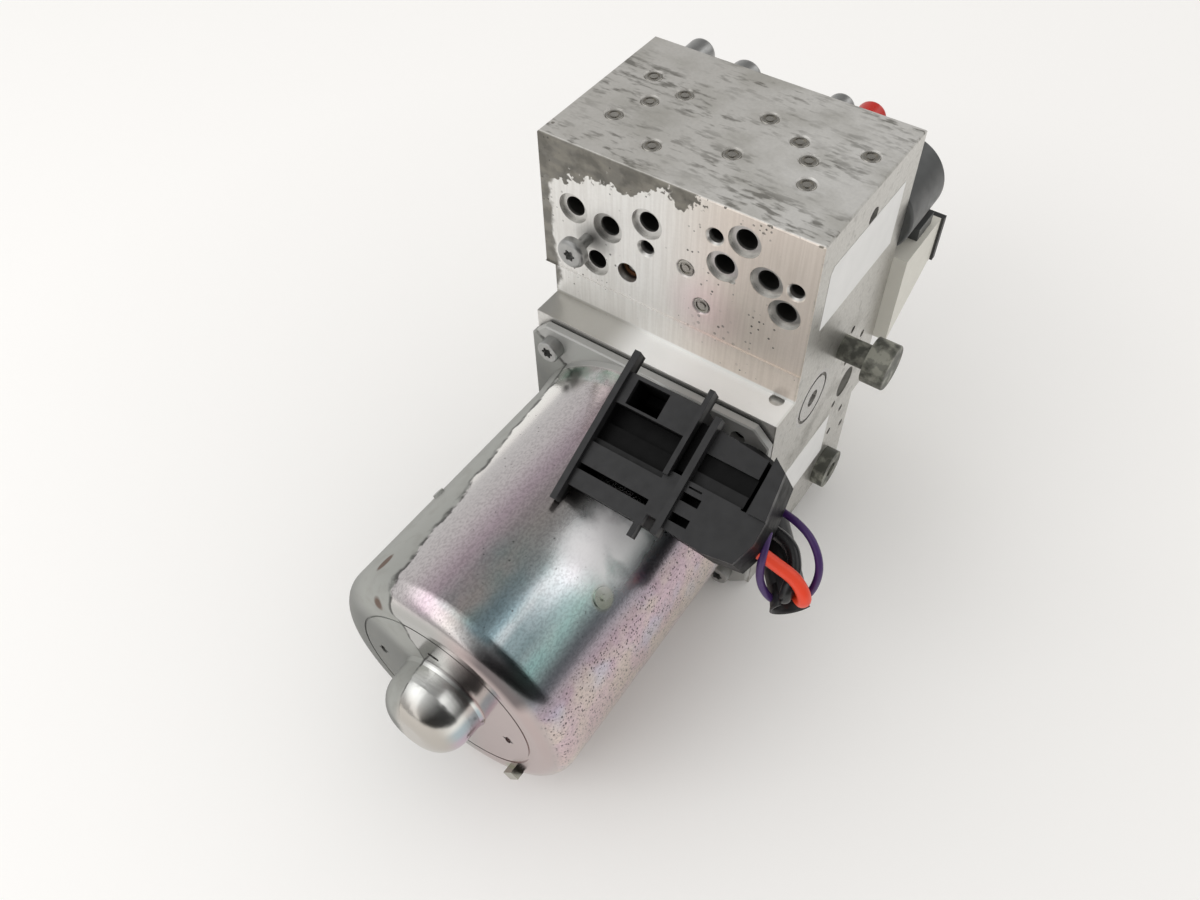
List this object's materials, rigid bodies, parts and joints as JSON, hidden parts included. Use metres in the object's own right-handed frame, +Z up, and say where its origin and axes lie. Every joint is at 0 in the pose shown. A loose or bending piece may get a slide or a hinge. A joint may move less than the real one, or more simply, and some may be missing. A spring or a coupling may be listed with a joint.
{
  "type": "abs brake module",
  "caption": "Anti-lock brake hydraulic unit: drilled aluminium block with pipe ports, pump motor, valve coils and a cabled connector bracket.",
  "frame": {"origin": "on the rest plane, below the motor axis, within the lower face of the bottom bush", "axes": "+X across the unit to the side with the stud and leads, +Y from the motor to the coils, +Z up; the motor axis runs along Y at X = 0"},
  "size_m": [0.1385, 0.2425, 0.1585],
  "materials": {
    "accumulator_piston_left": "plain",
    "accumulator_piston_right": "plain",
    "accumulator_plugs": "turned",
    "accumulator_springs": "plain",
    "armature_core": "plain",
    "armature_windings": "enamelled copper",
    "ball_plugs": "staked",
    "bearing_race": "plain",
    "black_lead": "smooth",
    "blank_labels": "matt, blank",
    "brush_card": "moulded",
    "brush_springs": "plain",
    "brushes": "pressed carbon",
    "cable_grommet": "moulded",
    "cable_sheath": "smooth",
    "cam_ring": "plain",
    "coil_bobbins": "moulded",
    "coil_housing": "moulded",
    "coil_windings": "enamelled copper",
    "coil_yokes": "plain",
    "commutator": "turned copper",
    "connector_bracket": "moulded",
    "connector_pins": "plated",
    "connector_shroud": "moulded",
    "control_board": "laminate",
    "dome_sleeves": "plain",
    "earth_screw": "zinc plated",
    "eccentric": "plain",
    "front_bearing": "plain",
    "housing_cover": "moulded",
    "magnets": "sintered",
    "motor_can": "zinc plated",
    "motor_end_shield": "plain",
    "motor_gasket": "matt",
    "motor_screws": "plain",
    "motor_shaft": "plain",
    "mount_bushes": "plain",
    "mount_stud": "stained",
    "port_ball": "smooth",
    "port_ring": "stained",
    "pump_piston_left": "plain",
    "pump_piston_right": "plain",
    "pump_plugs": "turned",
    "pump_sleeves": "plain",
    "pump_springs": "plain",
    "red_cap": "moulded",
    "red_lead": "smooth",
    "shaft_bushes": "plain",
    "valve_block": "milled",
    "valve_cartridges": "plain",
    "valve_plunger_1": "plain",
    "valve_plunger_2": "plain",
    "valve_plunger_3": "plain",
    "valve_plunger_4": "plain",
    "valve_plunger_5": "plain",
    "valve_plunger_6": "plain",
    "valve_plunger_7": "plain",
    "valve_plunger_8": "plain",
    "violet_lead_a": "smooth",
    "violet_lead_b": "smooth"
  },
  "bodies": {
    "unit": {"accumulator_plugs": "accumulator_plugs", "accumulator_springs": "accumulator_springs", "ball_plugs": "ball_plugs", "black_lead": "black_lead", "blank_labels": "blank_labels", "brush_card": "brush_card", "brush_springs": "brush_springs", "brushes": "brushes", "cable_grommet": "cable_grommet", "cable_sheath": "cable_sheath", "coil_bobbins": "coil_bobbins", "coil_housing": "coil_housing", "coil_windings": "coil_windings", "coil_yokes": "coil_yokes", "connector_bracket": "connector_bracket", "connector_pins": "connector_pins", "connector_shroud": "connector_shroud", "control_board": "control_board", "dome_sleeves": "dome_sleeves", "earth_screw": "earth_screw", "front_bearing": "front_bearing", "housing_cover": "housing_cover", "magnets": "magnets", "motor_can": "motor_can", "motor_end_shield": "motor_end_shield", "motor_gasket": "motor_gasket", "motor_screws": "motor_screws", "mount_bushes": "mount_bushes", "mount_stud": "mount_stud", "port_ball": "port_ball", "port_ring": "port_ring", "pump_plugs": "pump_plugs", "pump_sleeves": "pump_sleeves", "pump_springs": "pump_springs", "red_cap": "red_cap", "red_lead": "red_lead", "shaft_bushes": "shaft_bushes", "valve_block": "valve_block", "valve_cartridges": "valve_cartridges", "violet_lead_a": "violet_lead_a", "violet_lead_b": "violet_lead_b"},
    "rotor": {"motor_shaft": "motor_shaft", "bearing_race": "bearing_race", "eccentric": "eccentric", "cam_ring": "cam_ring", "armature_core": "armature_core", "armature_windings": "armature_windings", "commutator": "commutator"},
    "pump_left": {"pump_piston_left": "pump_piston_left"},
    "pump_right": {"pump_piston_right": "pump_piston_right"},
    "accumulator_left": {"accumulator_piston_left": "accumulator_piston_left"},
    "accumulator_right": {"accumulator_piston_right": "accumulator_piston_right"},
    "plunger_1": {"valve_plunger_1": "valve_plunger_1"},
    "plunger_2": {"valve_plunger_2": "valve_plunger_2"},
    "plunger_3": {"valve_plunger_3": "valve_plunger_3"},
    "plunger_4": {"valve_plunger_4": "valve_plunger_4"},
    "plunger_5": {"valve_plunger_5": "valve_plunger_5"},
    "plunger_6": {"valve_plunger_6": "valve_plunger_6"},
    "plunger_7": {"valve_plunger_7": "valve_plunger_7"},
    "plunger_8": {"valve_plunger_8": "valve_plunger_8"}
  },
  "joints": [
    {"name": "rotor_spin", "type": "hinge", "parent": "unit", "child": "rotor", "pos_m": [0, 0, 0.0462], "axis": [0, 1, 0], "continuous": true},
    {"name": "pump_left_slide", "type": "slide", "parent": "unit", "child": "pump_left", "axis": [1, 0, 0], "range_m": [0, 0.002]},
    {"name": "pump_right_slide", "type": "slide", "parent": "unit", "child": "pump_right", "axis": [-1, 0, 0], "range_m": [0, 0.002]},
    {"name": "accumulator_left_slide", "type": "slide", "parent": "unit", "child": "accumulator_left", "axis": [1, 0, 0], "range_m": [0, 0.0075]},
    {"name": "accumulator_right_slide", "type": "slide", "parent": "unit", "child": "accumulator_right", "axis": [-1, 0, 0], "range_m": [0, 0.0075]},
    {"name": "plunger_1_slide", "type": "slide", "parent": "unit", "child": "plunger_1", "axis": [0, -1, 0], "range_m": [0, 0.0005]},
    {"name": "plunger_2_slide", "type": "slide", "parent": "unit", "child": "plunger_2", "axis": [0, -1, 0], "range_m": [0, 0.0005]},
    {"name": "plunger_3_slide", "type": "slide", "parent": "unit", "child": "plunger_3", "axis": [0, -1, 0], "range_m": [0, 0.0005]},
    {"name": "plunger_4_slide", "type": "slide", "parent": "unit", "child": "plunger_4", "axis": [0, -1, 0], "range_m": [0, 0.0005]},
    {"name": "plunger_5_slide", "type": "slide", "parent": "unit", "child": "plunger_5", "axis": [0, -1, 0], "range_m": [0, 0.0005]},
    {"name": "plunger_6_slide", "type": "slide", "parent": "unit", "child": "plunger_6", "axis": [0, -1, 0], "range_m": [0, 0.0005]},
    {"name": "plunger_7_slide", "type": "slide", "parent": "unit", "child": "plunger_7", "axis": [0, -1, 0], "range_m": [0, 0.0005]},
    {"name": "plunger_8_slide", "type": "slide", "parent": "unit", "child": "plunger_8", "axis": [0, -1, 0], "range_m": [0, 0.0005]}
  ]
}
